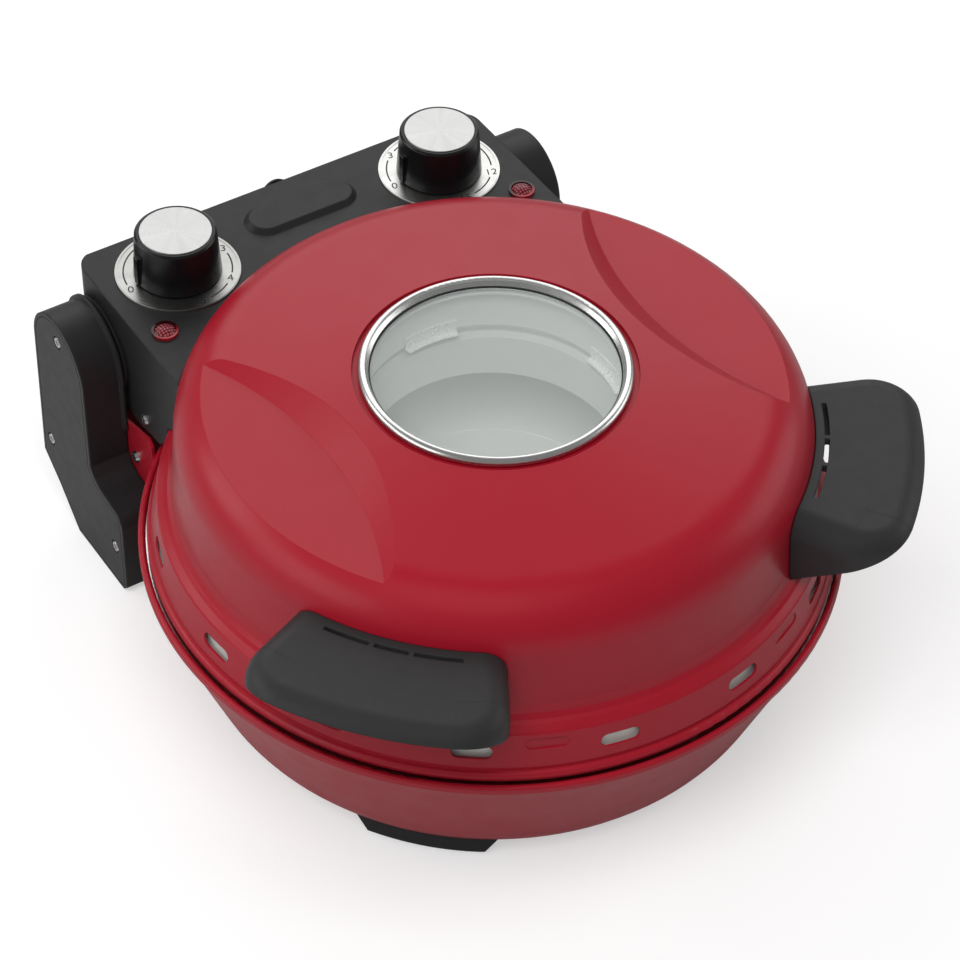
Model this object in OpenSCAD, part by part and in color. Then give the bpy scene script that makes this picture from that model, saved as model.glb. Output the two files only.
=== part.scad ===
// Countertop pizza maker: a round base with a stone, and a domed lid with a window.
// Millimetres. Z is up, the table is z = 0, the front is -Y, the controls are at +Y.
// Pieces are drawn about the bowl's axis, and place() moves them to the object's frame.

/* [Base] */
// Outer radius of the bowl's rim
rim_r = 180; // [177:1:183]
// Height of the bowl's rim above the table
rim_z = 90; // [88:1:93]
// Height of the bowl's flat bottom above the table
bowl_z = 5; // [4:0.5:7]
// Sheet thickness of the bowl
bowl_t = 1.2; // [0.8:0.2:2]
// Distance of the stone's edge from the bowl's rim
stone_gap = 25; // [24:1:28]
// Thickness of the stone
stone_t = 12; // [10:1:13]

/* [Lid] */
// Wall thickness of the lid
lid_t = 1.2; // [0.8:0.2:2]
// Radius of the lid's shoulder
shoulder_r = 30; // [27:1:32]
// Height of the lid's top above the rim
dome_h = 105; // [102:1:108]
// Vent slots around the lid's skirt
vent_count = 15; // [12:1:18]
// Length of a vent slot
vent_len = 20; // [16:1:22]
// Outer radius of the window's steel ring
ring_r = 68; // [66:1:69]

/* [Controls] */
// Half the width of the control box
box_half = 122.5; // [120:0.5:123.5]
// Height of the control box's top above the rim
box_h = 71.5; // [70:0.5:73]
// Distance of a dial's middle from the side of the box
dial_side = 42; // [40.5:0.5:44]
// Radius of a dial plate
dial_r = 33; // [30:0.5:34]
// Radius of a knob at its foot
knob_r = 23.2; // [21:0.2:24]
// Height of a knob
knob_h = 25.5; // [22:0.5:28]

/* [Hinge] */
// Radius of the hinge pins
pin_r = 5; // [4:0.25:5.5]
// Thickness of the hinge arms
arm_w = 23; // [22:0.5:26]
// Radius of the arms' round tops
arm_r = 28; // [27.5:0.25:29]

/* [Handles] */
// Direction of a handle, measured from the front
grip_angle = 49.5; // [47:0.5:51]
// Half of the angle a handle spans
grip_span = 19; // [17:0.5:20]
// Radius of a handle's outer edge
grip_r = 216; // [211:0.5:217]

/* [Fits] */
// Gap between pieces that are fixed to each other
fit = 0.3; // [0.2:0.05:0.4]
// Radial clearance of shafts that turn
run = 0.05; // [0.03:0.01:0.08]

/* [Hidden] */
$fn = 96;

// The bowl's bead and the arms' rear edge are equally far from the origin.
hinge_out = 10;
arm_back = 31;
bead_out = 1.2;
bowl_y = -(hinge_out + arm_back - bead_out) / 2;

// Bowl
corner_r = 30;
corner_c = [rim_r - 52.5, bowl_z + corner_r];
bead_r = 1.8;
bead_h = 2;
bead_c = [rim_r + bead_out - bead_r, rim_z - 2.1];
band_h = 6.3;
band_t = 0.5;
foot_c = corner_c.x + 3.5;
foot_half = 15;
wall_top = [rim_r, rim_z - 2];
wall_dir = atan2(wall_top.y - corner_c.y, wall_top.x - corner_c.x)
         - acos(corner_r / norm(wall_top - corner_c));
wall_n = [cos(wall_dir), sin(wall_dir)];
wall_up = [-wall_n.y, wall_n.x];

// Pan, stone and heaters
pan_t = 1.2;
pan_z = rim_z - 2 + pan_t;
stone_r = rim_r - stone_gap;
stone_z = rim_z - 3 - stone_t;
ledge_z = stone_z - fit;
pan_floor = ledge_z - 26;
tube_r = 3.25;
lower_z = pan_floor + pan_t + 10;
lower_leg = 22;

// Lid
lip_z = pan_z + 0.6;
dome_r = rim_r - 20;
dome_rise = 7;
shoulder_z = rim_z + dome_h - dome_rise - shoulder_r;
dome_z = rim_z + dome_h;
seat_z = dome_z - 2.5;
seat_r = ring_r + 3;
hole_r = ring_r - 1.8;
slope = atan2(dome_z - shoulder_z - shoulder_r, dome_r - shoulder_r - seat_r);
leaf_z = rim_z + 93.8;
leaf_x = dome_r + 126.6;
leaf_r = leaf_x - 95;
vent_z = rim_z + 17.5;
vent_wide = 7.4;
dimple_angle = 24;
dimple_z = rim_z + 22;
skirt_lean = 10.66;
ceiling_z = rim_z + 42;
upper_z = ceiling_z - 9;
upper_leg = 20;

// Window
glass_r = ring_r - 4.1;
glass_z = seat_z - 2.6;
glass_t = 3.5;
pane_z = rim_z + 68.3;
pane_r = ring_r + 0.6;

// Control box and hinge
hinge_y = rim_r + hinge_out;
hinge_z = rim_z + 32;
back_r = 28;
box_back = hinge_y + back_r;
box_top = rim_z + box_h;
box_t = 2.5;
dial_x = box_half - dial_side;
dial_y = hinge_y - 9.5;
dial_t = 1;
dial_z = box_top + dial_t;
knob_z = dial_z + 0.6;
knob_top = knob_z + knob_h;
lamp_x = box_half - 13.5;
lamp_y = hinge_y - 48;
boss_r = arm_r - 1;
flange_r = arm_r + 2;
arm_in = box_half + 3.3;
arm_out = arm_in + arm_w;
cheek_in = box_half + 1;
cheek_out = cheek_in + 2;
wing_out = box_half - box_t - 0.6;
wing_in = wing_out - 2;
wing_front = sqrt(pow(dome_r + 1, 2) - pow(wing_in, 2)) - 4;
cover_x = box_half - 18.5;
cover_z = hinge_z - 14;
cover_floor = hinge_z - back_r;

// Handles
grip_top = rim_z + 74;
grip_screw_z = rim_z + 58;
grip_screw_turn = 16;
grip_edge = 12;
grip_corner = 25;
grip_c = grip_r - grip_corner;
grip_lean = asin(grip_corner / grip_c);
grip_turn = grip_span - grip_lean;

red = [0.65, 0.12, 0.18];
black = [0.18, 0.18, 0.19];
steel = [0.82, 0.82, 0.8];
silver = [0.72, 0.73, 0.73];

base_shell();
base_pan();
pizza_stone();
lower_heater();
lower_heater_supports();
foot_front_left();
foot_front_right();
foot_rear_left();
foot_rear_right();
foot_screws();
base_bracket();
bracket_screws();
arm_left();
arm_right();
arm_cover_left();
arm_cover_right();
cover_screws_left();
cover_screws_right();
arm_screws();
hinge_pin_left();
hinge_pin_right();
lid_shell();
lid_reflector();
upper_heater();
upper_heater_supports();
window_sleeve();
window_ring();
window_gasket();
window_glass();
inner_glass();
glass_clips();
handle_left();
handle_right();
handle_screws();
lid_bracket();
control_housing();
control_cover();
control_screws();
box_screws();
rear_bumper();
dial_plate_temp();
dial_plate_timer();
thermostat();
timer();
terminal_block();
lamp_ring_left();
lamp_ring_right();
lamp_left();
lamp_right();
temp_shaft();
temp_knob();
temp_knob_cap();
timer_shaft();
timer_knob();
timer_knob_cap();

// ---- helpers ----

function unit(v) = v / norm(v);
function left_of(v) = [-v.y, v.x];
function miter(p, i) =
    let (a = left_of(unit(i == 0 ? p[1] - p[0] : p[i] - p[i - 1])),
         b = i == 0 || i == len(p) - 1 ? a : left_of(unit(p[i + 1] - p[i])),
         m = unit(a + b))
    m / (m * a);
// Outline of a sheet of thickness t on the left of a path.
function sheet(p, t) =
    concat(p, [for (i = [len(p) - 1:-1:0]) p[i] + t * miter(p, i)]);

module place() {
    translate([0, bowl_y, 0]) children();
}

module both_sides() {
    children();
    mirror([1, 0, 0]) children();
}

// Draws (y, z) shapes and extrudes them along x, from x0 to x1.
module along_x(x0, x1) {
    translate([x0, 0, 0]) rotate([90, 0, 90]) linear_extrude(x1 - x0) children();
}

// A cylinder along x at (y, z).
module rod_x(x0, x1, y, z, r, r2 = -1) {
    translate([x0, y, z]) rotate([0, 90, 0]) cylinder(h = x1 - x0, r1 = r, r2 = r2 < 0 ? r : r2);
}

module ring(r0, r1, z0, z1) {
    difference() {
        translate([0, 0, z0]) cylinder(h = z1 - z0, r = r1);
        translate([0, 0, z0 - 1]) cylinder(h = z1 - z0 + 2, r = r0);
    }
}

// Part of a disc between two directions.
module pie(r, a0, a1) {
    mid = (a0 + a1) / 2;
    far = 3 * r;
    intersection() {
        circle(r);
        polygon([[0, 0], far * [cos(a0), sin(a0)], far * [cos(mid), sin(mid)],
                 far * [cos(a1), sin(a1)]]);
    }
}

// Rectangle from the origin with its far top corner rounded.
module rounded_end(w, h, r) {
    square([w - r, h]);
    square([w, h - r]);
    translate([w - r, h - r]) pie(r, 0, 90);
}

module obround(len, wide) {
    square([len - wide, wide], center = true);
    for (s = [-1, 1]) translate([s * (len - wide) / 2, 0]) circle(wide / 2);
}

// Pan-head screw along -z: the head's underside is at z = 0.
module screw(len, r = 1.8, head = 3.6, head_h = 1.8) {
    difference() {
        union() {
            translate([0, 0, -len]) cylinder(h = len + 0.5, r = r);
            cylinder(h = head_h, r1 = head, r2 = head - 0.8);
        }
        translate([0, 0, head_h - 0.6]) {
            translate([-2, -0.4, 0]) cube([4, 0.8, 2]);
            translate([-0.4, -2, 0]) cube([0.8, 4, 2]);
        }
    }
}

// ---- base ----

// Solid profile of the bowl, moved inwards by t.
module bowl_profile(t) {
    c = corner_c;
    foot = c + (corner_r - t - 0.02) * wall_n;
    head = wall_top - t * wall_n;
    top = rim_z + (t > 0 ? 5 : 0);
    polygon([[0, bowl_z + t], [c.x, bowl_z + t], c, foot, head, [rim_r - t, head.y], [rim_r - t, top],
             [0, top]]);
    translate(c) pie(corner_r - t, -90, wall_dir + 6);
}

// Rolled edge of the bowl and the raised band under it.
module rim_profile() {
    low = wall_top - band_h * wall_up;
    polygon([low - 0.4 * wall_n, low + band_t * wall_n, wall_top + band_t * wall_n,
             wall_top - 0.4 * wall_n]);
    for (z = [0, bead_h]) translate(bead_c + [0, z]) circle(bead_r);
    translate(bead_c - [bead_r, 0]) square([2 * bead_r, bead_h]);
}

module base_shell() {
    color(red) place() difference() {
        union() {
            difference() {
                rotate_extrude() bowl_profile(0);
                rotate_extrude() bowl_profile(bowl_t);
            }
            ring(rim_r - 11, rim_r - 0.3 - 0.8 * bowl_t, rim_z - 3.6, rim_z - 2.2);
            rotate_extrude() rim_profile();
            both_sides() ear();
        }
        for (a = [45:90:315]) rotate([0, 0, a]) {
            translate([foot_c, 0, 0]) cylinder(h = 20, r = 1.9);
        }
        both_sides() rod_x(cheek_in - 8, cheek_in + 2, hinge_y - 37, rim_z - 18, 1.9);
    }
}

// Ear of the bowl that the rear bracket is screwed to.
module ear() {
    difference() {
        translate([cheek_in - 3.2, 60, rim_z - 30]) cube([3, hinge_y - 85, 24]);
        rotate_extrude() bowl_profile(bowl_t / 2);
    }
}

// The pan hangs by its rim flange. The stone rests on its ledge.
module base_pan() {
    r = stone_r + 5;
    color(silver) place() difference() {
        rotate_extrude() polygon(sheet([
            [bead_c.x - bead_r - fit, rim_z - 2], [r + 3, rim_z - 2], [r, ledge_z - pan_t],
            [r - 13, ledge_z - pan_t], [r - 20, pan_floor], [0, pan_floor]], -pan_t));
        for (p = heater_feet(lower_out, lower_in)) {
            translate([p.x, p.y, pan_floor - 5]) cylinder(h = 10, r = tube_r + 1);
        }
    }
}

module pizza_stone() {
    color([0.85, 0.82, 0.75]) place() translate([0, 0, stone_z]) difference() {
        rotate_extrude() rounded_end(stone_r, stone_t, 2.5);
        rotate_extrude() translate([70, stone_t]) circle(0.7);
    }
}

lower_out = stone_r - 35;
lower_in = stone_r - 75;
upper_out = dome_r - 35;
upper_in = ring_r + 22;
heater_gap = 14;

function heater_feet(r_out, r_in) =
    [r_out * [sin(heater_gap), cos(heater_gap)], r_in * [sin(heater_gap), cos(heater_gap)]];

// Two loops in one tube. Its ends stand up by leg, or hang down when leg is negative.
module heater(r_out, r_in, leg) {
    a = heater_gap;
    for (r = [r_out, r_in]) {
        rotate([0, 0, 90 + a]) rotate_extrude(angle = 360 - 2 * a) {
            translate([r, 0]) circle(tube_r);
        }
    }
    rotate([0, 0, 90 + a]) {
        translate([r_in, 0, 0]) rotate([0, 90, 0]) cylinder(h = r_out - r_in, r = tube_r);
        for (r = [r_in, r_out]) translate([r, 0, 0]) sphere(tube_r + 0.2);
    }
    for (p = heater_feet(r_out, r_in)) translate([p.x, p.y, 0]) {
        sphere(tube_r + 0.2);
        translate([0, 0, min(leg, 0)]) cylinder(h = abs(leg), r = tube_r);
        translate([0, 0, min(leg, 0) - (leg < 0 ? 6 : -abs(leg))]) cylinder(h = 6, r = 1.5);
    }
}

// Upright plates that carry both loops of a heater. The tubes pass through them.
module heater_supports(r_out, r_in, z0, z1) {
    for (a = [30:120:270]) rotate([0, 0, a]) difference() {
        translate([r_in - 8, -0.75, z0]) cube([r_out - r_in + 16, 1.5, z1 - z0]);
        for (r = [r_in, r_out]) translate([r, 2, 0]) rotate([90, 0, 0]) {
            cylinder(h = 4, r = tube_r + 0.15);
        }
        translate([(r_in + r_out) / 2, 2, 0]) rotate([90, 0, 0]) linear_extrude(4) {
            obround(18, 6);
        }
    }
}

module lower_heater() {
    color([0.35, 0.35, 0.36]) place() translate([0, 0, lower_z]) {
        heater(lower_out, lower_in, -lower_leg);
    }
}

module lower_heater_supports() {
    color(steel) place() translate([0, 0, lower_z]) {
        heater_supports(lower_out, lower_in, pan_floor + pan_t + 0.1 - lower_z, tube_r + 3);
    }
}

// Arc-shaped foot under the bowl's corner, in direction a from +x.
module foot(a) {
    place() rotate([0, 0, a]) difference() {
        intersection() {
            rotate([0, 0, -20]) rotate_extrude(angle = 40) {
                translate([foot_c, 0]) polygon([
                    [-foot_half, 0], [foot_half, 0], [foot_half + 3, 4], [foot_half + 3, 14],
                    [-foot_half, 14]]);
            }
            along_x(foot_c - 60, foot_c + 60) {
                polygon([[-27, 0], [27, 0], [29, 2], [37, 15], [37, 30], [-37, 30], [-37, 15],
                         [-29, 2]]);
            }
        }
        rotate_extrude() bowl_profile(-0.1);
        translate([foot_c, 0, -1]) cylinder(h = 30, r = 2);
        translate([foot_c, 0, -1]) cylinder(h = 3.6, r = 4.5);
    }
}

module foot_front_left() {
    color(black) foot(225);
}

module foot_front_right() {
    color(black) foot(315);
}

module foot_rear_left() {
    color(black) foot(135);
}

module foot_rear_right() {
    color(black) foot(45);
}

module foot_screws() {
    color(steel) place() for (a = [45:90:315]) {
        rotate([0, 0, a]) translate([foot_c, 0, 2.6]) mirror([0, 0, 1]) screw(7);
    }
}

// Sheet bracket behind the bowl. Its cheeks carry the hinge arms.
module base_bracket() {
    y = hinge_y;
    color(red) place() difference() {
        union() {
            both_sides() along_x(cheek_in, cheek_out) polygon([
                [y - 95, bowl_z + 9], [y + 8, bowl_z + 9], [y + 24, bowl_z + 30], [y + 24, rim_z - 8],
                [y + 4, rim_z - 8], [y - 18, rim_z - 2.5], [y - 52, rim_z + 6.5], [y - 55.5, rim_z + 3],
                [y - 55.5, rim_z - 2]]);
            translate([-cheek_out, rim_r + fit, bowl_z + 9]) cube([2 * cheek_out, 2, rim_z - 14 - bowl_z]);
        }
        rotate_extrude() bowl_profile(-fit);
        translate([0, 0, rim_z - 9]) cylinder(h = 9 + bead_h, r = rim_r + bead_out + fit);
        both_sides() {
            rod_x(cheek_in - 1, cheek_out + 1, y - 37, rim_z - 18, 1.9);
            for (p = arm_fixings()) rod_x(cheek_in - 1, cheek_out + 1, p.x, p.y, 2.2);
        }
        translate([-70, rim_r - 5, bowl_z + 30]) cube([140, 20, 26]);
    }
}

module bracket_screws() {
    color(steel) place() both_sides() {
        translate([cheek_out + 0.05, hinge_y - 37, rim_z - 18]) rotate([0, 90, 0]) screw(8);
    }
}

// ---- hinge arms ----

// Where the screws of the covers and of the arms sit, as (y, z).
function cover_fixings() =
    [[hinge_y - 1, hinge_z + 14.5], [hinge_y + 20, rim_z - 40], [hinge_y - 51, rim_z - 62]];
function arm_fixings() = [[hinge_y - 19, rim_z - 38], [hinge_y - 30, rim_z - 70]];

// Side outline of an arm, moved inwards by i.
module arm_outline(i) {
    y = hinge_y;
    translate([y, hinge_z]) circle(arm_r - i);
    polygon([
        [y - arm_r + i, hinge_z], [y - arm_r + i, rim_z - 22 - i], [y - 32 + i, rim_z - 27 - i],
        [y - 38 + i * 0.5, rim_z - 30.5 - i], [y - 53.5, rim_z - 33 - i], [y - 53.5, rim_z - 41],
        [y - 61.5 + i, rim_z - 41], [y - 61.5 + i, 5], [y - 57 + i, 0.5 + i],
        [y - 5 - 0.4 * i, 0.5 + i], [y + 15 - 0.6 * i, 21 + 0.8 * i], [y + arm_back - i, 34 + 0.6 * i],
        [y + arm_r - i, hinge_z]]);
    translate([y - 53.5, rim_z - 41]) pie(8 - i, 90, 180);
}

// Thin border of an arm's round top, at its inner face.
module arm_flange() {
    translate([hinge_y, hinge_z]) circle(flange_r);
    translate([hinge_y - flange_r + 0.05, rim_z - 4]) square([2 * flange_r - 0.1, 36]);
}

// The right arm: a case that is open at the outside, with bosses for pin and screws.
module arm() {
    seat = arm_out - 2.4;
    floor_x = arm_in + 3;
    place() difference() {
        union() {
            difference() {
                union() {
                    along_x(arm_in, arm_out) arm_outline(0);
                    along_x(arm_in, arm_in + 2) arm_flange();
                }
                along_x(floor_x, arm_out + 1) arm_outline(5);
                along_x(seat, arm_out + 1) arm_outline(2.4);
            }
            rod_x(arm_in, seat - 3, hinge_y, hinge_z, pin_r + 4);
            for (p = cover_fixings()) rod_x(arm_in, seat, p.x, p.y, 4);
            for (p = arm_fixings()) rod_x(arm_in, arm_in + 12, p.x, p.y, 4.5);
            rod_x(arm_in - 1.2, arm_in + 1, hinge_y, hinge_z, pin_r + 6);
        }
        rod_x(arm_in - 2, seat - 5, hinge_y, hinge_z, pin_r + 0.05);
        for (p = cover_fixings()) rod_x(arm_in + 8, arm_out, p.x, p.y, 1.85);
        for (p = arm_fixings()) rod_x(arm_in - 1, arm_in + 11, p.x, p.y, 2.05);
    }
}

module arm_cover() {
    x = arm_out - 2.4;
    place() difference() {
        along_x(x + 0.1, arm_out) arm_outline(2.4 + fit);
        for (p = cover_fixings()) {
            rod_x(x - 1, arm_out + 1, p.x, p.y, 2);
            rod_x(arm_out - 1.4, arm_out + 1, p.x, p.y, 3.9);
        }
    }
}

module cover_screws() {
    place() for (p = cover_fixings()) {
        translate([arm_out - 1.35, p.x, p.y]) rotate([0, 90, 0]) screw(11, 1.8, 3.6, 1.5);
    }
}

module hinge_pin() {
    place() {
        rod_x(wing_in - 3.3, arm_out - 7.6, hinge_y, hinge_z, pin_r);
        rod_x(wing_in - 3.3, wing_in - 0.3, hinge_y, hinge_z, pin_r + 2.5, pin_r + 3.3);
    }
}

module arm_left() {
    color(black) mirror([1, 0, 0]) arm();
}

module arm_right() {
    color(black) arm();
}

module arm_cover_left() {
    color(black) mirror([1, 0, 0]) arm_cover();
}

module arm_cover_right() {
    color(black) arm_cover();
}

module cover_screws_left() {
    color(steel) mirror([1, 0, 0]) cover_screws();
}

module cover_screws_right() {
    color(steel) cover_screws();
}

module arm_screws() {
    color(steel) place() both_sides() for (p = arm_fixings()) {
        translate([cheek_in - 0.05, p.x, p.y]) rotate([0, -90, 0]) screw(13, 2, 4, 1.8);
    }
}

module hinge_pin_left() {
    color(steel) mirror([1, 0, 0]) hinge_pin();
}

module hinge_pin_right() {
    color(steel) hinge_pin();
}

// ---- lid ----

// Solid profile of the lid, moved inwards by t.
module lid_profile(t) {
    c = [dome_r - shoulder_r, shoulder_z];
    low = t > 0 ? lip_z - 3 : lip_z + 2;
    rs = shoulder_r - t;
    polygon([
        [0, low], [rim_r - 6.7 - t, low], [rim_r - 6 - t, rim_z + 8.8], [rim_r - 9.5 - t, rim_z + 27.4 - t],
        [rim_r - 10.2 - t, rim_z + 28.4 - t], [rim_r - 13.2 - t, rim_z + 31 - t],
        [rim_r - 15.2 - t, rim_z + 32 - t], [rim_r - 17 - t, rim_z + 34.5], [rim_r - 18 - t, rim_z + 39],
        [dome_r - 0.02 - t, shoulder_z], c, c + (rs - 0.02) * [sin(slope), cos(slope)],
        [seat_r + t, dome_z - t - t * tan(slope)], [seat_r + t, seat_z - t], [0, seat_z - t]]);
    translate(c) pie(rs, -6, 96 - slope);
}

// Rolled lower edge of the lid, made larger by i.
module lip_profile(i) {
    translate([rim_r - 6.6, lip_z + 3.2]) circle(3.2 + i);
}

// Tool for the leaf-shaped recesses: a flat floor and a slanted wall on the window's side.
module leaf_tool(t) {
    both_sides() translate([leaf_x, 2.5, leaf_z - t]) {
        cylinder(h = 30, r1 = leaf_r + 0.6 * t, r2 = leaf_r + 0.6 * t + 42.6);
    }
}

module lid_shell() {
    color(red) place() difference() {
        union() {
            difference() {
                rotate_extrude() lid_profile(0);
                leaf_tool(0);
            }
            rotate_extrude() lip_profile(0);
        }
        difference() {
            rotate_extrude() lid_profile(lid_t);
            leaf_tool(lid_t);
        }
        translate([0, 0, seat_z - 20]) cylinder(h = 40, r = hole_r);
        for (k = [0:vent_count - 1]) rotate([0, 0, (k + 0.5) * 360 / vent_count - 90]) {
            translate([rim_r - 24, 0, vent_z]) rotate([90, 0, 90]) linear_extrude(32) {
                obround(vent_len, vent_wide);
            }
        }
        for (a = [-dimple_angle, dimple_angle]) rotate([0, 0, a - 90]) {
            translate([rim_r - 8.5, 0, dimple_z]) rotate([0, -skirt_lean, 0]) translate([-0.8, 0, 0]) {
                rotate([90, 0, 90]) linear_extrude(8) obround(21, 6);
            }
        }
        for (s = [-1, 1], d = [-1, 1]) rotate([0, 0, s * grip_angle - 90 + d * grip_screw_turn]) {
            rod_x(dome_r - 12, rim_r, 0, grip_screw_z, 2.1);
        }
    }
}

// Bright ceiling of the baking space. Its lower edge meets the inside of the skirt.
module lid_reflector() {
    color(silver) place() difference() {
        rotate_extrude() polygon(sheet([
            [ring_r - 2.6, ceiling_z], [dome_r - 21, ceiling_z], [dome_r + 1, rim_z + 27],
            [rim_r - 12.5, rim_z + 21], [rim_r - 10.5, rim_z + 9], [rim_r - 8.5, rim_z + 9]], 1));
        for (p = heater_feet(upper_out, upper_in)) {
            translate([p.x, p.y, ceiling_z - 5]) cylinder(h = 10, r = tube_r + 1);
        }
    }
}

module upper_heater() {
    color([0.35, 0.35, 0.36]) place() translate([0, 0, upper_z]) {
        heater(upper_out, upper_in, upper_leg);
    }
}

module upper_heater_supports() {
    color(steel) place() translate([0, 0, upper_z]) {
        heater_supports(upper_out, upper_in, -tube_r - 3, ceiling_z - 0.1 - upper_z);
    }
}

// Sheet-metal well between the window and the ceiling, rolled around the inner pane.
module window_sleeve() {
    r = ring_r;
    color(silver) place() rotate_extrude() polygon(sheet([
        [r - 5.8, glass_z - 1.05], [r - 0.6, glass_z - 1.05], [r - 0.6, pane_z + 5.4],
        [r + 1.2, pane_z + 3.4], [r + 1.2, pane_z - 0.2], [r - 2.6, pane_z - 1.6],
        [r - 3.4, ceiling_z + 1.1], [r + 4, ceiling_z + 1.1]], 1));
}

module window_ring() {
    r = ring_r;
    color(steel) place() rotate_extrude() {
        difference() {
            translate([r - 2.5, seat_z + 2.8]) circle(2.5);
            translate([0, seat_z]) square([r - 3.7, 10]);
        }
        translate([r - 3.7, glass_z + 0.1]) square([1.6, seat_z + 1.5 - glass_z]);
        translate([r - 5.4, glass_z + glass_t + 0.5]) polygon([[0, 0], [1.8, 0], [1.8, 2.6], [0, 0.9]]);
    }
}

module window_gasket() {
    color([0.08, 0.08, 0.08]) place() ring(ring_r - 6.1, glass_r, glass_z + glass_t + 0.05,
                                           glass_z + glass_t + 0.45);
}

module window_glass() {
    color([0.8, 0.9, 0.85, 0.4]) place() translate([0, 0, glass_z]) {
        cylinder(h = glass_t, r = glass_r);
    }
}

module inner_glass() {
    color([0.8, 0.9, 0.85, 0.4]) place() translate([0, 0, pane_z]) cylinder(h = 3, r = pane_r);
}

module glass_clips() {
    r = ring_r - 0.7;
    color(steel) place() for (a = [0:90:270]) rotate([0, 0, a - 16]) {
        rotate_extrude(angle = 26) polygon([
            [r, pane_z + 3.2], [r, pane_z + 11], [r - 0.8, pane_z + 11], [r - 0.8, pane_z + 4],
            [r - 4, pane_z + 4], [r - 4, pane_z + 3.2]]);
    }
}

// Upright section of a handle, lowered by drop. Its outer top edge is rounded.
module grip_section(inner, outer, drop = 0) {
    low = rim_z + 30;
    translate([inner, low]) rounded_end(outer - inner, grip_top - drop - low, grip_edge);
}

// Moves to the middle of a handle's rounded corner. There x runs outwards along the end.
module at_grip_corner() {
    rotate([0, 0, grip_turn]) translate([grip_c, 0, 0]) rotate([0, 0, grip_lean]) children();
}

// Uncut handle centred on +x: an arched middle, rounded corners and straight ends.
module grip_body() {
    reach = grip_c - dome_r + 10;
    rotate([0, 0, -grip_turn - 0.2]) rotate_extrude(angle = 2 * grip_turn + 0.4) {
        grip_section(dome_r - 8, grip_r);
    }
    for (s = [0, 1]) mirror([0, s, 0]) {
        at_grip_corner() rotate([0, 0, -grip_lean - 6]) rotate_extrude(angle = 102 + grip_lean) {
            grip_section(0, grip_corner - 0.05, 0.05);
        }
        at_grip_corner() translate([-reach, 0, 0]) rotate([90, 0, 90]) linear_extrude(reach) {
            grip_section(-4, grip_corner);
        }
    }
}

// The handle lies on the dome. Its underside slants, and slots open into a pocket.
module handle() {
    difference() {
        grip_body();
        rotate([0, 0, 180]) rotate_extrude() {
            polygon([
                [0, rim_z], [0, rim_z + 25], [dome_r + 3, rim_z + 34.6], [dome_r + 10.6, rim_z + 40],
                [grip_r + 20, rim_z + 40 + (grip_r + 9.4 - dome_r) * 0.645], [grip_r + 20, rim_z]]);
        }
        rotate([0, 0, 180]) rotate_extrude() lid_profile(-fit);
        rotate([0, 0, -13.5]) rotate_extrude(angle = 27) {
            translate([dome_r + 3.2, rim_z + 20]) square([17, grip_top - rim_z - 24]);
        }
        for (k = [-1:1], half = k == 0 ? 2.9 : 4) {
            rotate([0, 0, k * 7.8 - half]) rotate_extrude(angle = 2 * half) {
                translate([dome_r + 4.3, grip_top - 10]) square([2.4, 20]);
            }
        }
        for (s = [0, 1]) mirror([0, s, 0]) {
            rotate([0, 0, grip_screw_turn]) rod_x(dome_r - 5, dome_r + 18, 0, grip_screw_z, 1.85);
        }
    }
}

module handle_left() {
    color(black) place() rotate([0, 0, -grip_angle - 90]) handle();
}

module handle_right() {
    color(black) place() rotate([0, 0, grip_angle - 90]) handle();
}

module handle_screws() {
    color(steel) place() for (s = [-1, 1], d = [-1, 1]) {
        rotate([0, 0, s * grip_angle - 90 + d * grip_screw_turn]) {
            translate([dome_r - lid_t + 0.4, 0, grip_screw_z]) rotate([0, -90, 0]) screw(16);
        }
    }
}

// ---- control box ----

// (y, z) profile of the box, moved inwards by i. It is round about the hinge.
module box_side(i) {
    low = hinge_z - back_r + i;
    translate([hinge_y, hinge_z]) pie(back_r - i, -90, 0);
    polygon([
        [hinge_y, hinge_z], [box_back - i, hinge_z], [box_back - i, box_top - 1 - i],
        [box_back - 1 - i, box_top - i], [40, box_top - i], [40, rim_z + 20],
        [hinge_y - 72, rim_z + 18 + i], [hinge_y - 60, rim_z + 8.4 + i], [hinge_y - 40, rim_z + 5.5 + i],
        [hinge_y, low]]);
}

// Plan of the box with its rounded rear corners, moved inwards by i.
module box_plan(i) {
    x = box_half - i;
    y = box_back - i;
    r = 12 - i;
    translate([-x, 0]) square([2 * x, y - r]);
    translate([-x + r, 0]) square([2 * (x - r), y]);
    for (s = [-1, 1]) translate([s * (x - r), y - r]) circle(r);
}

module box_shell() {
    difference() {
        intersection() {
            along_x(-box_half, box_half) box_side(0);
            translate([0, 0, rim_z - 10]) linear_extrude(box_h + 20) box_plan(0);
        }
        intersection() {
            along_x(-box_half + box_t, box_half - box_t) box_side(box_t);
            translate([0, 0, rim_z - 10]) linear_extrude(box_h + 20) box_plan(box_t);
        }
        rotate_extrude() lid_profile(-fit);
        rotate_extrude() lip_profile(fit);
    }
}

// Region of the box's floor that comes off with the cover.
module cover_zone(i) {
    translate([-cover_x + i, rim_r / 2, rim_z - 10]) {
        cube([2 * (cover_x - i), hinge_y + 22 - rim_r / 2 - i, cover_z - rim_z + 10 - i]);
    }
}

// Raised pad with sloped sides: two cones and a bar between them.
module pad(x, r1, r2) {
    for (s = [-1, 1]) translate([s * x, 0, -0.4]) cylinder(h = 3, r1 = r1 + 0.05, r2 = r2 + 0.05);
    along_x(-x, x) polygon([[-r1, -0.4], [r1, -0.4], [r2, 2.6], [-r2, 2.6]]);
}

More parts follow.
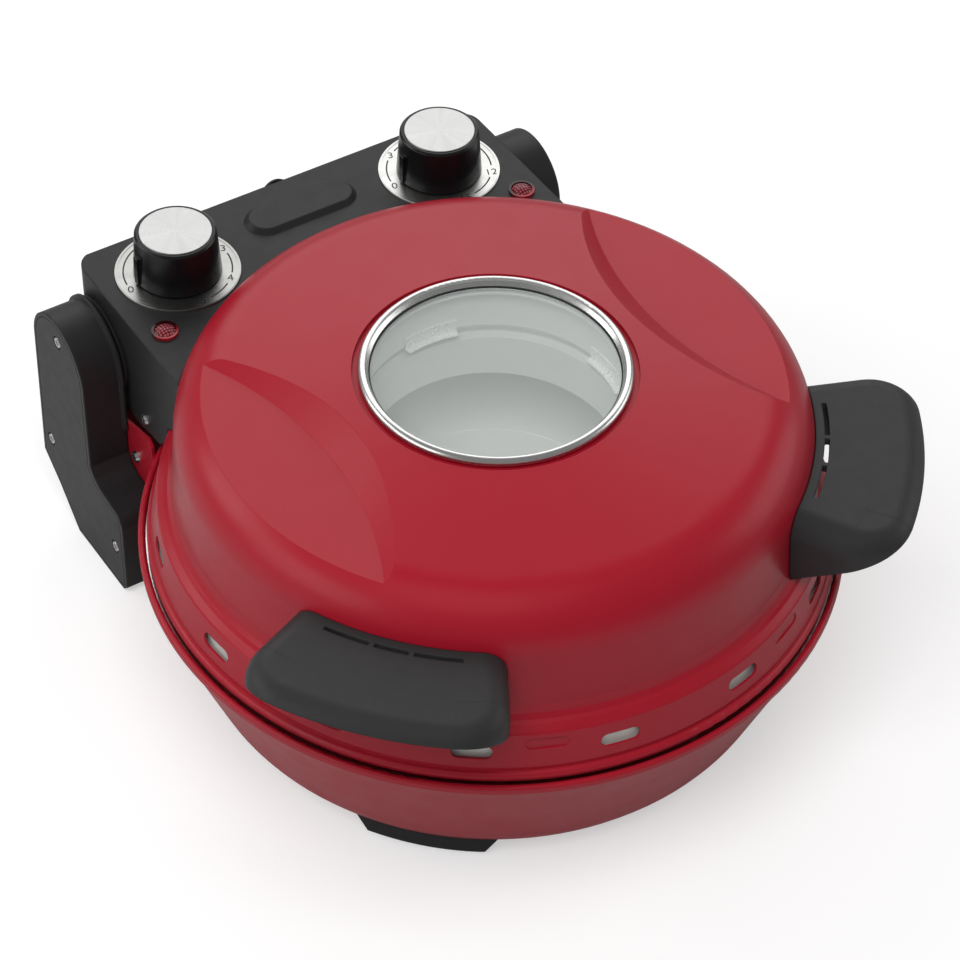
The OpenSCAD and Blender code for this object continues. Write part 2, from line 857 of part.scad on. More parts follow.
module control_housing() {
    color(black) place() difference() {
        union() {
            difference() {
                box_shell();
                cover_zone(0);
            }
            both_sides() {
                rod_x(box_half - 1, box_half + 1.6, hinge_y, hinge_z, boss_r);
                for (y = [hinge_y - 32, hinge_y + 6]) {
                    translate([cover_x - 8.5, y - 5, cover_z - 8.8]) cube([26.5, 10, 4.2]);
                }
            }
            translate([0, hinge_y + 1.5, box_top]) pad(21, 12.5, 9.2);
        }
        both_sides() {
            rod_x(box_half - 20, box_half + 5, hinge_y, hinge_z, pin_r + 0.4);
            rod_x(box_half + 0.6, box_half + 5, hinge_y, hinge_z, boss_r - 3);
            for (p = box_fixings()) rod_x(box_half - 5, box_half + 5, p.y, p.z, 2);
            for (y = [hinge_y - 32, hinge_y + 6]) {
                translate([cover_x - 4.6, y, cover_z - 15]) cylinder(h = 20, r = 1.85);
            }
            translate([lamp_x, lamp_y, box_top - 10]) cylinder(h = 20, r = 5.8);
            translate([dial_x, dial_y, box_top - 10]) cylinder(h = 20, r = 5.2);
        }
        translate([0, box_back - 5, box_top - 8]) rotate([-90, 0, 0]) cylinder(h = 10, r = 2.2);
    }
}

// Where the screws in the sides of the box sit.
function box_fixings() =
    [[box_half + 0.05, hinge_y - 45, rim_z + 14], [box_half + 0.65, hinge_y - 16, hinge_z + 9]];

module control_cover() {
    color(black) place() difference() {
        intersection() {
            box_shell();
            cover_zone(fit);
        }
        for (k = [-5:5]) translate([k * 14, hinge_y + 4, rim_z - 5]) linear_extrude(20) {
            rotate([0, 0, 90]) obround(14, 4);
        }
        both_sides() for (y = [hinge_y - 32, hinge_y + 6]) {
            translate([cover_x - 4.6, y, rim_z - 5]) cylinder(h = 30, r = 2);
            translate([cover_x - 4.6, y, cover_floor - 9]) cylinder(h = 10.5, r = 4);
        }
    }
}

module control_screws() {
    color(steel) place() both_sides() for (y = [hinge_y - 32, hinge_y + 6]) {
        translate([cover_x - 4.6, y, cover_floor + 1.45]) mirror([0, 0, 1]) screw(7.5);
    }
}

// Steel bracket in the box: a plate behind the dome and a wing on either pin.
module lid_bracket() {
    z0 = rim_z + 44;
    color(silver) place() difference() {
        union() {
            intersection() {
                difference() {
                    rotate_extrude() lid_profile(-fit - 2);
                    rotate_extrude() lid_profile(-fit);
                }
                translate([-wing_out, dome_r / 3, z0]) cube([2 * wing_out, dome_r, 12]);
            }
            both_sides() along_x(wing_in, wing_out) polygon([
                [wing_front, z0], [hinge_y - 54, rim_z + 14], [hinge_y + 10, rim_z + 14],
                [hinge_y + 16, rim_z + 22], [hinge_y + 16, rim_z + 42], [hinge_y + 6, z0 + 12],
                [wing_front, z0 + 12]]);
        }
        rotate_extrude() lid_profile(-fit);
        both_sides() {
            rod_x(wing_in - 1, wing_out + 1, hinge_y, hinge_z, pin_r + run);
            for (p = box_fixings()) rod_x(wing_in - 1, wing_out + 1, p.y, p.z, 1.85);
        }
    }
}

module box_screws() {
    color(steel) place() both_sides() for (p = box_fixings()) {
        translate(p) rotate([0, 90, 0]) screw(9, 1.8, 3.2, 1.4);
    }
}

module rear_bumper() {
    color([0.1, 0.1, 0.1]) place() translate([0, box_back, box_top - 8]) rotate([-90, 0, 0]) {
        translate([0, 0, 0.05]) cylinder(h = 2.4, r1 = 8.6, r2 = 7.4);
        translate([0, 0, -4]) cylinder(h = 5, r = 2);
    }
}

// Round plate under a knob, with a raised rim line.
module dial_plate() {
    ring(5.2, dial_r, box_top + 0.02, dial_z);
    ring(dial_r - 1.4, dial_r - 0.5, dial_z - 0.1, dial_z + 0.25);
}

module dial_plate_temp() {
    color(steel) place() translate([-dial_x, dial_y, 0]) dial_plate();
}

module dial_plate_timer() {
    color(steel) place() translate([dial_x, dial_y, 0]) dial_plate();
}

// Switch body of radius r and height h under the box's top, with a bushing for the shaft.
module switch_body(r, h) {
    top = box_top - box_t - 0.1;
    difference() {
        union() {
            translate([0, 0, top - h]) cylinder(h = h - 1.5, r = r);
            translate([-r - 4, -9, top - 1.6]) cube([2 * r + 8, 18, 1.6]);
            translate([0, 0, top - 3]) cylinder(h = box_t + dial_t + 4, r = 4.8);
            for (s = [-1, 1]) translate([s * 8 - 3, -r - 6, top - h + 4]) cube([6, r, 0.8]);
        }
        translate([0, 0, top - 10]) cylinder(h = 30, r = 3 + run);
    }
}

module thermostat() {
    color([0.85, 0.84, 0.8]) place() translate([-dial_x, dial_y, 0]) switch_body(15, 20);
}

module timer() {
    color([0.7, 0.7, 0.7]) place() translate([dial_x, dial_y, 0]) switch_body(20, 30);
}

module terminal_block() {
    color([0.9, 0.9, 0.87]) place() translate([-30, hinge_y - 9, cover_floor + box_t + 0.9]) {
        difference() {
            union() {
                translate([0, -1, 3.5]) cube([60, 16, 6]);
                for (k = [0:4]) translate([k * 12 + 1.5, 1, 3.5]) cube([9, 12, 13]);
                for (k = [0, 1]) translate([k * 48 + 1.5, 2, 0]) cube([9, 10, 5]);
            }
            for (k = [0:4]) translate([k * 12 + 6, 0, 0]) {
                translate([0, -2, 11]) rotate([-90, 0, 0]) cylinder(h = 20, r = 2);
                translate([0, 7, 11]) cylinder(h = 10, r = 2);
            }
        }
    }
}

module lamp_ring() {
    ring(5.7, 7, box_top + 0.05, box_top + 1.6);
}

module lamp() {
    translate([0, 0, box_top - 16]) cylinder(h = 17, r = 5.5);
    intersection() {
        translate([0, 0, box_top + 0.9]) cylinder(h = 10, r = 5.5);
        translate([0, 0, box_top - 4.8]) sphere(8);
    }
}

module lamp_ring_left() {
    color(red) place() translate([-lamp_x, lamp_y, 0]) lamp_ring();
}

module lamp_ring_right() {
    color(red) place() translate([lamp_x, lamp_y, 0]) lamp_ring();
}

module lamp_left() {
    color([0.7, 0.1, 0.1]) place() translate([-lamp_x, lamp_y, 0]) lamp();
}

module lamp_right() {
    color([0.7, 0.1, 0.1]) place() translate([lamp_x, lamp_y, 0]) lamp();
}

// ---- knobs ----

// Shaft with a flat at its upper end.
module shaft() {
    z0 = box_top - box_t - 9.8;
    difference() {
        translate([0, 0, z0]) cylinder(h = knob_top - 4.5 - z0, r = 3);
        translate([1.8, -5, dial_z + 5]) cube([5, 10, 40]);
    }
}

// Hollow knob with a hub on the shaft and a pointer rib towards -x at rest.
module knob() {
    top_r = knob_r - 1.7;
    difference() {
        union() {
            translate([0, 0, knob_z]) cylinder(h = knob_h - 1, r1 = knob_r, r2 = top_r);
            translate([0, 0, knob_top - 1]) cylinder(h = 1, r1 = top_r, r2 = top_r - 1);
            translate([-knob_r - 1, -1.8, knob_z + 0.4]) cube([4, 3.6, 17]);
        }
        translate([0, 0, knob_z - 1]) cylinder(h = knob_h - 3, r1 = knob_r - 2.2, r2 = top_r - 2);
        translate([0, 0, knob_top - 0.7]) cylinder(h = 2, r = top_r - 2.4);
    }
    difference() {
        translate([0, 0, dial_z + 4]) cylinder(h = knob_top - 2 - dial_z - 4, r = 6.5);
        difference() {
            translate([0, 0, dial_z]) cylinder(h = knob_top - 4.4 - dial_z, r = 3.03);
            translate([1.83, -5, dial_z + 5.1]) cube([5, 10, 40]);
        }
    }
}

module knob_cap() {
    translate([0, 0, knob_top - 0.65]) rotate_extrude() rounded_end(knob_r - 4.2, 1.1, 0.4);
}

module temp_shaft() {
    color(steel) place() translate([-dial_x, dial_y, 0]) shaft();
}

module temp_knob() {
    color([0.1, 0.1, 0.1]) place() translate([-dial_x, dial_y, 0]) knob();
}

module temp_knob_cap() {
    color(steel) place() translate([-dial_x, dial_y, 0]) knob_cap();
}

module timer_shaft() {
    color(steel) place() translate([dial_x, dial_y, 0]) shaft();
}

module timer_knob() {
    color([0.1, 0.1, 0.1]) place() translate([dial_x, dial_y, 0]) knob();
}

module timer_knob_cap() {
    color(steel) place() translate([dial_x, dial_y, 0]) knob_cap();
}
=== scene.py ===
import bpy
import math
from mathutils import Matrix, Vector

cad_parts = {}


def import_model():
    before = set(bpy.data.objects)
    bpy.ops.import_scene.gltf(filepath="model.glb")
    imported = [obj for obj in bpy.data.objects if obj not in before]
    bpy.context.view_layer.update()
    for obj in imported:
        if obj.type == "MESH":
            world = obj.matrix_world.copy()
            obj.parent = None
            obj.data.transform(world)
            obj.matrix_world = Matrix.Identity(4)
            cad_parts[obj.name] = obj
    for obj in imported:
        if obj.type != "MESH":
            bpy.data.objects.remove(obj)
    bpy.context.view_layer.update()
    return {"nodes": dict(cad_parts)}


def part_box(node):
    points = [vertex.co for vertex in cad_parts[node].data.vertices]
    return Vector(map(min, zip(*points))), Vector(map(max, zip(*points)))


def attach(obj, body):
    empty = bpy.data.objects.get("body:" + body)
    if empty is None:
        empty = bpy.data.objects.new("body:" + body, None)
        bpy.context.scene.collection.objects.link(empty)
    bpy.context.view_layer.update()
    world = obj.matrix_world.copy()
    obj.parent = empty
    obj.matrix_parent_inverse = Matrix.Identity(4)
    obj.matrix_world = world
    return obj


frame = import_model()
nodes = frame["nodes"]

MM = 0.001
WHITE = (1, 1, 1, 1)

# Places on the part, in metres.
BOWL_Y = -0.0199             # y of the upright axis of bowl, lid and window
DIAL_X = 0.0805              # the dials' centres lie at -x and +x
DIAL_Y = BOWL_Y + 0.1805
DIAL_FACE = 0.1625           # z of the flat face that carries the print

# Print on the dials.
PRINT_RADIUS = 0.0285        # of the circle on which numbers and lines lie
PRINT_LIFT = 0.00003         # of the numbers over the face
FONT_SIZE = 1.35             # large, as the opening of the 4 closes in small letters
FONT_DEPTH = 0.004
FONT_SCALE = 0.0052          # from the large letters to their size on the dial
FONT_TURN = -22              # degrees
LINE_WIDTH = 0.0008
LINE_HEIGHT = 0.00005
LINE_STEP = 3                # degrees of arc in each straight piece
LINE_PIECES = 4              # at the least
NUMBER_GAP = 9               # degrees between a number's middle and the line beside it
DIGIT_GAP = 3                # more of them for a second digit

# The camera, as fitted to the round outlines in the photograph.
CAMERA_PLACE = (-0.6281, -0.9331 + BOWL_Y, 1.1395 + 0.09)
CAMERA_FORWARD = (0.3938, 0.5923, -0.7029)
CAMERA_HEADING = -33.62      # degrees from +x to the level line to its right
CAMERA_ROLL = 1.44           # degrees
CAMERA_FOCUS = 3111 / 960    # focal length over the image's width
SENSOR = 36
CLIP_START = 0.05

# Floor and background.
FLOOR_SIZE = 14
FLOOR_GLOW = (0.48, 0.86)    # strength near the part and far from it
FLOOR_RANGE = (0.6, 3.5)     # distances from the origin where these are reached
SKY_LIGHT = 0.20             # the world's strength as light on the part
SKY_SEEN = 1.0               # its strength where it is seen


# ---- materials ----

def material(name, color, metallic=0.0, roughness=0.5, **sockets):
    """A material with a Principled shader. Sockets are set by name, with _ for spaces."""
    m = bpy.data.materials.new(name)
    m.use_nodes = True
    bsdf = m.node_tree.nodes["Principled BSDF"]
    bsdf.inputs["Base Color"].default_value = (*color, 1)
    bsdf.inputs["Metallic"].default_value = metallic
    bsdf.inputs["Roughness"].default_value = roughness
    for key, value in sockets.items():
        bsdf.inputs[key.replace("_", " ")].default_value = value
    return m


def shaded(color, factor):
    """A color made darker or lighter."""
    return tuple(v * factor for v in color)


class Nodes:
    """Short calls for building the node tree of a material or a world."""

    def __init__(self, owner):
        self.tree = owner.node_tree
        self.bsdf = self.tree.nodes.get("Principled BSDF")

    def new(self, kind, **props):
        n = self.tree.nodes.new(kind)
        for key, value in props.items():
            setattr(n, key, value)
        return n

    def link(self, a, b):
        self.tree.links.new(a, b)

    def set(self, socket, value):
        self.link(value, self.bsdf.inputs[socket])

    def coords(self, scale=(1, 1, 1), offset=(0, 0, 0)):
        """Object coordinates in metres, moved by offset and then scaled."""
        tc = self.new("ShaderNodeTexCoord")
        move = self.new("ShaderNodeVectorMath", operation="ADD")
        move.inputs[1].default_value = offset
        size = self.new("ShaderNodeVectorMath", operation="MULTIPLY")
        size.inputs[1].default_value = scale
        self.link(tc.outputs["Object"], move.inputs[0])
        self.link(move.outputs[0], size.inputs[0])
        return size.outputs[0]

    def split(self, vector):
        """The x, y and z of a vector."""
        n = self.new("ShaderNodeSeparateXYZ")
        self.link(vector, n.inputs[0])
        return n.outputs

    def noise(self, vector, scale, detail=2.0, rough=0.5):
        n = self.new("ShaderNodeTexNoise")
        n.inputs["Scale"].default_value = scale
        n.inputs["Detail"].default_value = detail
        n.inputs["Roughness"].default_value = rough
        self.link(vector, n.inputs["Vector"])
        return n.outputs["Fac"]

    def math(self, op, a, b=None):
        """A math node. Each of a and b is a number or another node's output."""
        n = self.new("ShaderNodeMath", operation=op)
        for k, v in enumerate((a, b)):
            if isinstance(v, (int, float)):
                n.inputs[k].default_value = v
            elif v is not None:
                self.link(v, n.inputs[k])
        return n.outputs[0]

    def span(self, value, low, high, at0=0.0, at1=1.0):
        """Maps value from at0..at1 to low..high."""
        n = self.new("ShaderNodeMapRange")
        n.inputs["From Min"].default_value = at0
        n.inputs["From Max"].default_value = at1
        n.inputs["To Min"].default_value = low
        n.inputs["To Max"].default_value = high
        self.link(value, n.inputs["Value"])
        return n.outputs["Result"]

    def spread(self, noise, low, high):
        """Maps noise, which lies mostly within 0.3..0.7, to low..high."""
        return self.span(noise, low, high, 0.3, 0.7)

    def mix(self, fac, a, b):
        """A color between a, where fac is 0, and b, where it is 1."""
        n = self.new("ShaderNodeMix", data_type="RGBA")
        self.link(fac, n.inputs["Factor"])
        n.inputs[6].default_value = (*a, 1)
        n.inputs[7].default_value = (*b, 1)
        return n.outputs[2]

    def bump(self, height, strength, distance, edge=0.0):
        """Fine relief. Edge is the radius by which sharp edges look rounded."""
        n = self.new("ShaderNodeBump")
        n.inputs["Strength"].default_value = strength
        n.inputs["Distance"].default_value = distance
        self.link(height, n.inputs["Height"])
        self.set("Normal", n.outputs["Normal"])
        if edge:
            round_edge = self.new("ShaderNodeBevel", samples=8)
            round_edge.inputs["Radius"].default_value = edge
            self.link(round_edge.outputs["Normal"], n.inputs["Normal"])

    def seen(self):
        """1 where the camera looks straight on or through glass, and 0 otherwise."""
        path = self.new("ShaderNodeLightPath")
        return self.math("MAXIMUM", path.outputs["Is Camera Ray"],
                         path.outputs["Is Transmission Ray"])


def red_paint():
    """Satin paint with a faint cloudiness and orange peel."""
    m = material("red_satin_paint", (0.36, 0.007, 0.020), 0.0, 0.36, Coat_Weight=0.06,
                 Coat_Roughness=0.16, Specular_IOR_Level=0.34)
    n = Nodes(m)
    c = n.coords()
    cloud = n.noise(c, scale=9, detail=3)
    n.set("Base Color", n.mix(cloud, (0.372, 0.0075, 0.0215), (0.348, 0.0065, 0.0185)))
    n.set("Roughness", n.spread(n.noise(c, scale=60, detail=3), 0.34, 0.40))
    n.bump(n.noise(c, scale=1400), strength=0.08, distance=0.4 * MM, edge=0.6 * MM)
    return m


def moulded(name, color, rough, grain=2600, depth=0.22, edge=0.0):
    """Fine-grained moulded plastic."""
    m = material(name, color, 0.0, rough, Specular_IOR_Level=0.36)
    n = Nodes(m)
    c = n.coords()
    cloud = n.noise(c, scale=26, detail=4)
    n.set("Base Color", n.mix(cloud, shaded(color, 0.94), shaded(color, 1.05)))
    n.set("Roughness", n.spread(n.noise(c, scale=150, detail=3), rough - 0.025, rough + 0.03))
    n.bump(n.noise(c, scale=grain), strength=depth, distance=0.3 * MM, edge=edge)
    return m


def spun(name, color, rough, centre, painted_sheen_fan=0.0):
    """Metal with fine turned lines round an upright axis at centre (x, y). Painted_sheen_fan
    is how far broad sectors about that axis are painted lighter and darker, a painted sheen
    for the fan-shaped reflections of turned metal."""
    m = material(name, color, 1.0, rough)
    n = Nodes(m)
    offset = (-centre[0], -centre[1], 0)
    x, y, _ = n.split(n.coords(offset=offset))
    radius = n.math("SQRT", n.math("ADD", n.math("POWER", x, 2), n.math("POWER", y, 2)))
    lines = n.new("ShaderNodeTexNoise", noise_dimensions="1D")
    lines.inputs["Scale"].default_value = 5200
    lines.inputs["Detail"].default_value = 2
    n.link(radius, lines.inputs["W"])
    line = lines.outputs["Fac"]
    n.set("Roughness", n.spread(line, rough - 0.07, rough + 0.1))
    turn = n.new("ShaderNodeVectorMath", operation="NORMALIZE")
    n.link(n.coords(scale=(1, 1, 0), offset=offset), turn.inputs[0])
    # painted sheen: broad sectors round the axis are made lighter and darker in the base
    # colour
    painted_sheen_sector = n.span(n.noise(turn.outputs[0], scale=2.2), 1 - painted_sheen_fan, 1 + painted_sheen_fan, 0.35, 0.65)
    shade = n.new("ShaderNodeVectorMath", operation="SCALE")
    n.link(n.mix(line, shaded(color, 0.93), color), shade.inputs[0])
    n.link(painted_sheen_sector, shade.inputs["Scale"])
    n.set("Base Color", shade.outputs[0])
    n.bump(line, strength=0.12, distance=0.2 * MM)
    return m


def sheet_metal(name, color, rough, metallic=1.0):
    """Rolled or drawn metal with a fine grain and faint blotches."""
    m = material(name, color, metallic, rough)
    n = Nodes(m)
    c = n.coords()
    grain = n.noise(c, scale=900, detail=3)
    blotch = n.noise(c, scale=30, detail=3)
    n.set("Base Color", n.mix(blotch, shaded(color, 0.88), color))
    n.set("Roughness", n.spread(grain, rough - 0.08, rough + 0.1))
    n.bump(grain, strength=0.08, distance=0.2 * MM)
    return m


def stone():
    """Pale speckled stone with a pitted face."""
    m = material("baking_stone", (0.84, 0.83, 0.81), 0.0, 0.85)
    n = Nodes(m)
    c = n.coords()
    speckle = n.noise(c, scale=420, detail=4, rough=0.7)
    n.set("Base Color", n.mix(speckle, (0.80, 0.79, 0.77), (0.87, 0.86, 0.84)))
    n.set("Roughness", n.spread(n.noise(c, scale=90, detail=3), 0.78, 0.92))
    n.bump(n.noise(c, scale=900, detail=4), strength=0.35, distance=0.6 * MM)
    return m


def glass(name, tint, cover):
    """Clear glass. Cover is how opaque it is, from 0 to 1."""
    m = material(name, tint, 0.0, 0.03, Alpha=cover, IOR=1.5, Specular_IOR_Level=0.6)
    n = Nodes(m)
    n.set("Roughness", n.spread(n.noise(n.coords(), scale=40), 0.02, 0.045))
    return m


def lens():
    """Red lamp lens with a pattern of small squares."""
    m = material("lamp_lens", (0.30, 0.01, 0.02), 0.0, 0.12, Specular_IOR_Level=0.35)
    n = Nodes(m)
    cells = n.new("ShaderNodeTexVoronoi", feature="F1", distance="CHEBYCHEV")
    cells.inputs["Scale"].default_value = 620
    cells.inputs["Randomness"].default_value = 0.15
    n.link(n.coords(scale=(1, 1, 0)), cells.inputs["Vector"])
    cell = cells.outputs["Distance"]
    n.set("Base Color", n.mix(n.span(cell, 0.0, 1.0, 0.18, 0.42),
                              (0.42, 0.09, 0.11), (0.05, 0.001, 0.003)))
    n.bump(cell, strength=0.6, distance=0.4 * MM)
    return m


def lamp_rim(side):
    """Dark red clear plastic of the ring round a lamp, with painted light: nearly black at
    the back, bright red at its front, where light shines through.
    """
    m = material("lamp_ring_plastic_" + side, (0.12, 0.003, 0.008), 0.0, 0.12)
    low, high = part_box("lamp_ring_" + side)
    n = Nodes(m)
    _, y, _ = n.split(n.coords())
    # painted light: the colour is made brighter towards the ring's front
    front = n.span(y, 1.0, 0.0, low.y, low.y + 0.55 * (high.y - low.y))
    n.set("Base Color", n.mix(front, (0.018, 0.001, 0.002), (0.36, 0.006, 0.016)))
    return m


def rubber():
    """Matt black rubber."""
    m = material("foot_rubber", (0.022, 0.022, 0.023), 0.0, 0.8, Specular_IOR_Level=0.35)
    n = Nodes(m)
    c = n.coords()
    cloud = n.noise(c, scale=60, detail=4)
    n.set("Base Color", n.mix(cloud, (0.018, 0.018, 0.019), (0.028, 0.028, 0.029)))
    n.bump(n.noise(c, scale=1800, detail=3), strength=0.3, distance=0.3 * MM)
    return m


def clouded(name, color, dark, light, rough, scale, detail):
    """A plain matt finish that varies between dark and light."""
    m = material(name, color, 0.0, rough)
    n = Nodes(m)
    n.set("Base Color", n.mix(n.noise(n.coords(), scale, detail), dark, light))
    return m


RED = red_paint()
BLACK = moulded("black_plastic", (0.016, 0.016, 0.0165), 0.46, 2600, 0.12, 1.6 * MM)
GRIP = moulded("handle_plastic", (0.026, 0.026, 0.0265), 0.50, 1900, 0.15, 1.2 * MM)
KNOB = moulded("knob_plastic", (0.005, 0.005, 0.0055), 0.24, 3000, 0.05, 0.7 * MM)
LINER = sheet_metal("liner_metal", (0.89, 0.905, 0.89), 0.36, metallic=0.25)
REFLECTOR = sheet_metal("reflector_metal", (0.84, 0.87, 0.82), 0.36, metallic=0.2)
PAN = sheet_metal("pan_metal", (0.72, 0.72, 0.70), 0.14)
CLIP = sheet_metal("clip_metal", (0.92, 0.92, 0.91), 0.3, metallic=0.3)
STEEL = sheet_metal("zinc_steel", (0.60, 0.60, 0.59), 0.35)
SCREW = sheet_metal("screw_steel", (0.70, 0.70, 0.69), 0.25)
HEATER = sheet_metal("heater_sheath", (0.19, 0.185, 0.18), 0.5)
STONE = stone()
GLASS = glass("window_glass", (0.88, 0.95, 0.92), 0.14)
PANE = glass("inner_pane_glass", (0.88, 0.95, 0.92), 0.08)
RUBBER = rubber()
LENS = lens()
SWITCH = moulded("switch_body", (0.56, 0.55, 0.50), 0.5)
CERAMIC = clouded("terminal_ceramic", (0.72, 0.70, 0.64), (0.68, 0.66, 0.60),
                  (0.76, 0.74, 0.68), rough=0.45, scale=80, detail=3)
RING = spun("window_ring_steel", (0.88, 0.88, 0.865), 0.24, (0, BOWL_Y))
# The two dial plates are one steel in two shades, 0.50 on the left and 0.72 on the right:
# painted shade and light for how light falls on each.
DIALS = [spun("dial_steel_" + side, (v, v, 0.97 * v), 0.3, (x, DIAL_Y), painted_sheen_fan=0.10)
         for side, x, v in (("left", -DIAL_X, 0.50), ("right", DIAL_X, 0.72))]
CAPS = [spun("cap_steel_" + side, (0.58, 0.58, 0.57), 0.32, (x, DIAL_Y), painted_sheen_fan=0.05)
        for side, x in (("left", -DIAL_X), ("right", DIAL_X))]

FINISH = {
    RED: ["base_shell", "base_bracket", "lid_shell"],
    LINER: ["window_sleeve"],
    REFLECTOR: ["lid_reflector"],
    PAN: ["base_pan"],
    CLIP: ["glass_clips"],
    STONE: ["pizza_stone"],
    HEATER: ["lower_heater", "upper_heater"],
    STEEL: ["lower_heater_supports", "upper_heater_supports", "lid_bracket"],
    RUBBER: ["foot_front_left", "foot_front_right", "foot_rear_left", "foot_rear_right",
             "rear_bumper", "window_gasket"],
    SCREW: ["foot_screws", "bracket_screws", "cover_screws_left", "cover_screws_right",
            "arm_screws", "hinge_pin_left", "hinge_pin_right", "handle_screws",
            "control_screws", "box_screws", "temp_shaft", "timer_shaft"],
    BLACK: ["arm_left", "arm_right", "arm_cover_left", "arm_cover_right",
            "control_housing", "control_cover"],
    GRIP: ["handle_left", "handle_right"],
    KNOB: ["temp_knob", "timer_knob"],
    RING: ["window_ring"],
    DIALS[0]: ["dial_plate_temp"],
    DIALS[1]: ["dial_plate_timer"],
    CAPS[0]: ["temp_knob_cap"],
    CAPS[1]: ["timer_knob_cap"],
    GLASS: ["window_glass"],
    PANE: ["inner_glass"],
    SWITCH: ["thermostat", "timer"],
    CERAMIC: ["terminal_block"],
    LENS: ["lamp_left", "lamp_right"],
    lamp_rim("left"): ["lamp_ring_left"],
    lamp_rim("right"): ["lamp_ring_right"],
}


def paint(obj, finish):
    """Gives an object one material in place of those that it has."""
    obj.data.materials.clear()
    obj.data.materials.append(finish)


for finish, names in FINISH.items():
    for name in names:
        paint(nodes[name], finish)


# ---- print on the dials ----

INK = clouded("dial_ink", (0.02, 0.02, 0.022), (0.016, 0.016, 0.018),
              (0.026, 0.026, 0.028), rough=0.5, scale=500, detail=2)


def linked(name, data):
    """A new object in the scene."""
    o = bpy.data.objects.new(name, data)
    bpy.context.scene.collection.objects.link(o)
    return o


def printed(obj):
    """Makes an object print on a dial, which moves with the lid."""
    paint(obj, INK)
    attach(obj, "lid")


def on_dial(centre, radius, angle, z):
    """A point about a dial's centre, at angle degrees from the front towards +x."""
    a = math.radians(angle)
    return centre[0] + radius * math.sin(a), centre[1] - radius * math.cos(a), z


def numeral(name, text, centre, angle):
    """A number whose middle lies at angle on a dial."""
    curve = bpy.data.curves.new(name, "FONT")
    curve.body = text
    curve.size = FONT_SIZE
    curve.align_x = "CENTER"
    curve.align_y = "CENTER"
    curve.extrude = FONT_DEPTH
    curve.resolution_u = 4
    letters = linked(name, curve)
    letters.location = on_dial(centre, PRINT_RADIUS, angle, DIAL_FACE + PRINT_LIFT)
    letters.rotation_euler = (0, 0, math.radians(FONT_TURN))
    bpy.context.view_layer.update()
    mesh = bpy.data.meshes.new_from_object(letters)
    mesh.transform(Matrix.Scale(FONT_SCALE, 4))
    flat = linked(name + "_print", mesh)
    flat.matrix_world = letters.matrix_world.copy()
    bpy.data.objects.remove(letters)
    printed(flat)


def arc(name, centre, a0, a1):
    """A thin printed line round a dial's centre from a0 to a1 degrees."""
    steps = max(LINE_PIECES, int(abs(a1 - a0) / LINE_STEP))
    verts, faces = [], []
    for k in range(steps + 1):
        angle = a0 + (a1 - a0) * k / steps
        for radius in (PRINT_RADIUS - LINE_WIDTH / 2, PRINT_RADIUS + LINE_WIDTH / 2):
            for z in (0.0, LINE_HEIGHT):
                verts.append(on_dial(centre, radius, angle, DIAL_FACE + z))
    for k in range(steps):
        b, t = 4 * k, 4 * (k + 1)
        faces += [(b + 1, b + 3, t + 3, t + 1), (b, t, t + 2, b + 2),
                  (b, b + 1, t + 1, t), (b + 2, t + 2, t + 3, b + 3)]
    end = 4 * steps
    faces += [(0, 2, 3, 1), (end, end + 1, end + 3, end + 2)]
    mesh = bpy.data.meshes.new(name)
    mesh.from_pydata(verts, [], faces)
    mesh.update()
    printed(linked(name, mesh))


# Each dial's x, and its numbers with the degrees at which they lie.
SCALES = {
    "temp": (-DIAL_X, [("0", -87), ("1", -170), ("2", -218),
                       ("3", -265), ("4", -315), ("5", -361)]),
    "timer": (DIAL_X, [("0", -89), ("3", -143.6), ("6", -198),
                       ("9", -253), ("12", -308), ("15", -362)]),
}
for key, (x, marks) in SCALES.items():
    centre = (x, DIAL_Y)
    for text, angle in marks:
        numeral(f"{key}_number_{text}", text, centre, angle)
    for k, ((_, start), (text, end)) in enumerate(zip(marks, marks[1:])):
        gap = NUMBER_GAP + DIGIT_GAP * (len(text) - 1)
        arc(f"{key}_line_{k}", centre, start - NUMBER_GAP, end + gap)


# ---- floor, light and camera ----

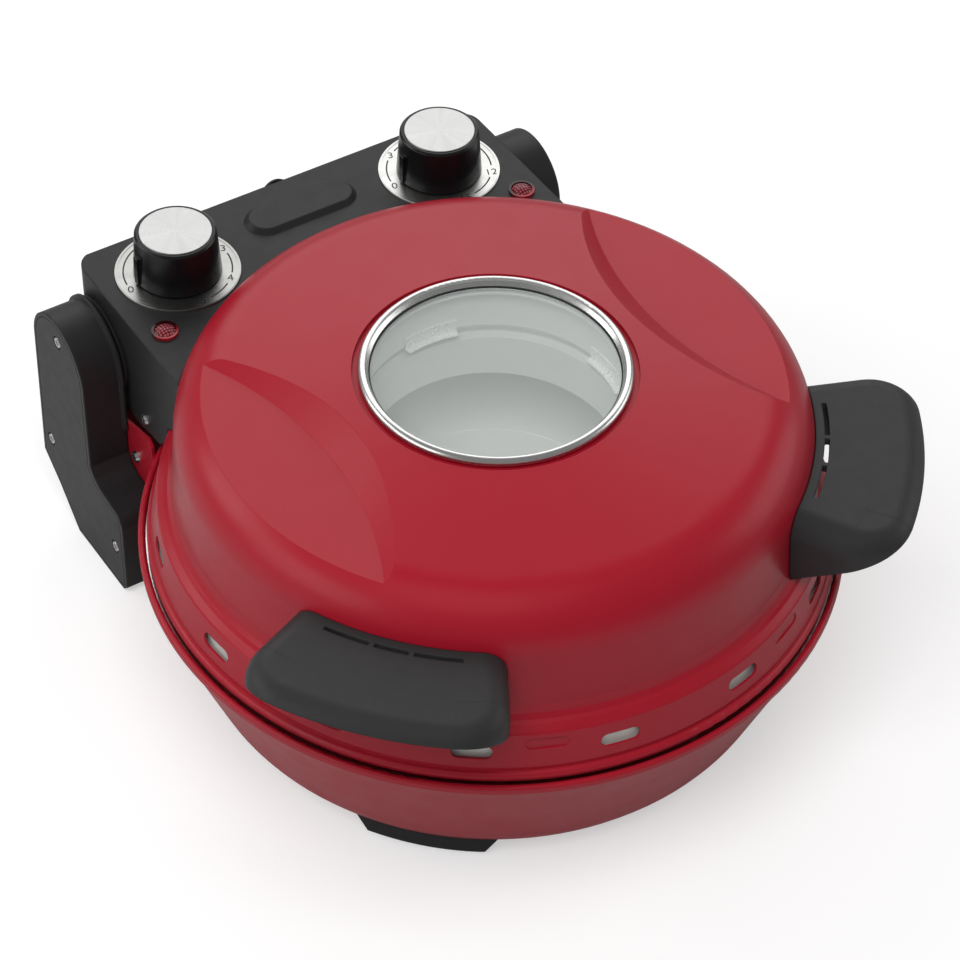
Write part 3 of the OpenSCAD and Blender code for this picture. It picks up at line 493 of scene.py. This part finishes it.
def floor():
    """A pale floor that looks brighter with distance, and shows the part's shadow."""
    bpy.ops.mesh.primitive_plane_add(size=FLOOR_SIZE, location=(0, 0, 0))
    o = bpy.context.object
    o.name = "floor"
    m = material("pale_floor", (0.60, 0.60, 0.60), 0.0, 0.9, Specular_IOR_Level=0.0)
    n = Nodes(m)
    far = n.new("ShaderNodeVectorMath", operation="LENGTH")
    n.link(n.coords(), far.inputs[0])
    glow = n.span(far.outputs["Value"], *FLOOR_GLOW, *FLOOR_RANGE)
    n.set("Emission Strength", n.math("MULTIPLY", n.seen(), glow))
    n.bsdf.inputs["Emission Color"].default_value = WHITE
    paint(o, m)


def world():
    """A white background that gives only a little light."""
    w = bpy.data.worlds.new("studio")
    bpy.context.scene.world = w
    w.use_nodes = True
    n = Nodes(w)
    back = n.tree.nodes["Background"]
    n.link(n.span(n.seen(), SKY_LIGHT, SKY_SEEN), back.inputs["Strength"])
    back.inputs["Color"].default_value = WHITE


def softbox(name, place, aim, size, watts, shine=True):
    """An area light aimed at height aim over the origin. Without shine, only matt surfaces
    show it."""
    light = bpy.data.lights.new(name, "AREA")
    light.shape = "RECTANGLE"
    light.size, light.size_y = size
    light.energy = watts
    o = linked(name, light)
    o.location = place
    sight = Vector((0, 0, aim)) - Vector(place)
    o.rotation_euler = sight.to_track_quat("-Z", "Y").to_euler()
    o.visible_glossy = shine


def camera():
    """The photograph's camera."""
    heading = math.radians(CAMERA_HEADING)
    roll = math.radians(CAMERA_ROLL)
    forward = Vector(CAMERA_FORWARD).normalized()
    level = Vector((math.cos(heading), math.sin(heading), 0))
    above = level.cross(forward)
    right = math.cos(roll) * level + math.sin(roll) * above
    up = -math.sin(roll) * level + math.cos(roll) * above
    data = bpy.data.cameras.new("camera")
    data.sensor_width = SENSOR
    data.lens = CAMERA_FOCUS * SENSOR
    data.clip_start = CLIP_START
    o = linked("camera", data)
    m = Matrix((right, up, -forward)).transposed().to_4x4()
    m.translation = Vector(CAMERA_PLACE)
    o.matrix_world = m
    bpy.context.scene.camera = o


floor()
world()
softbox("back_light", (0.7, 1.3, 1.15), aim=0.10, size=(2.0, 1.4), watts=12)
softbox("top_light", (-0.6, -0.6, 1.8), aim=0.10, size=(1.3, 1.3), watts=22.5, shine=False)
softbox("back_left_light", (-1.3, 1.2, 1.0), aim=0.12, size=(0.9, 0.9), watts=6)
softbox("left_light", (-1.9, 0.1, 0.9), aim=0.12, size=(1.4, 1.0), watts=7)
softbox("right_light", (1.9, -0.5, 0.9), aim=0.12, size=(1.4, 1.0), watts=6)
camera()
bpy.context.scene.view_settings.view_transform = "Standard"
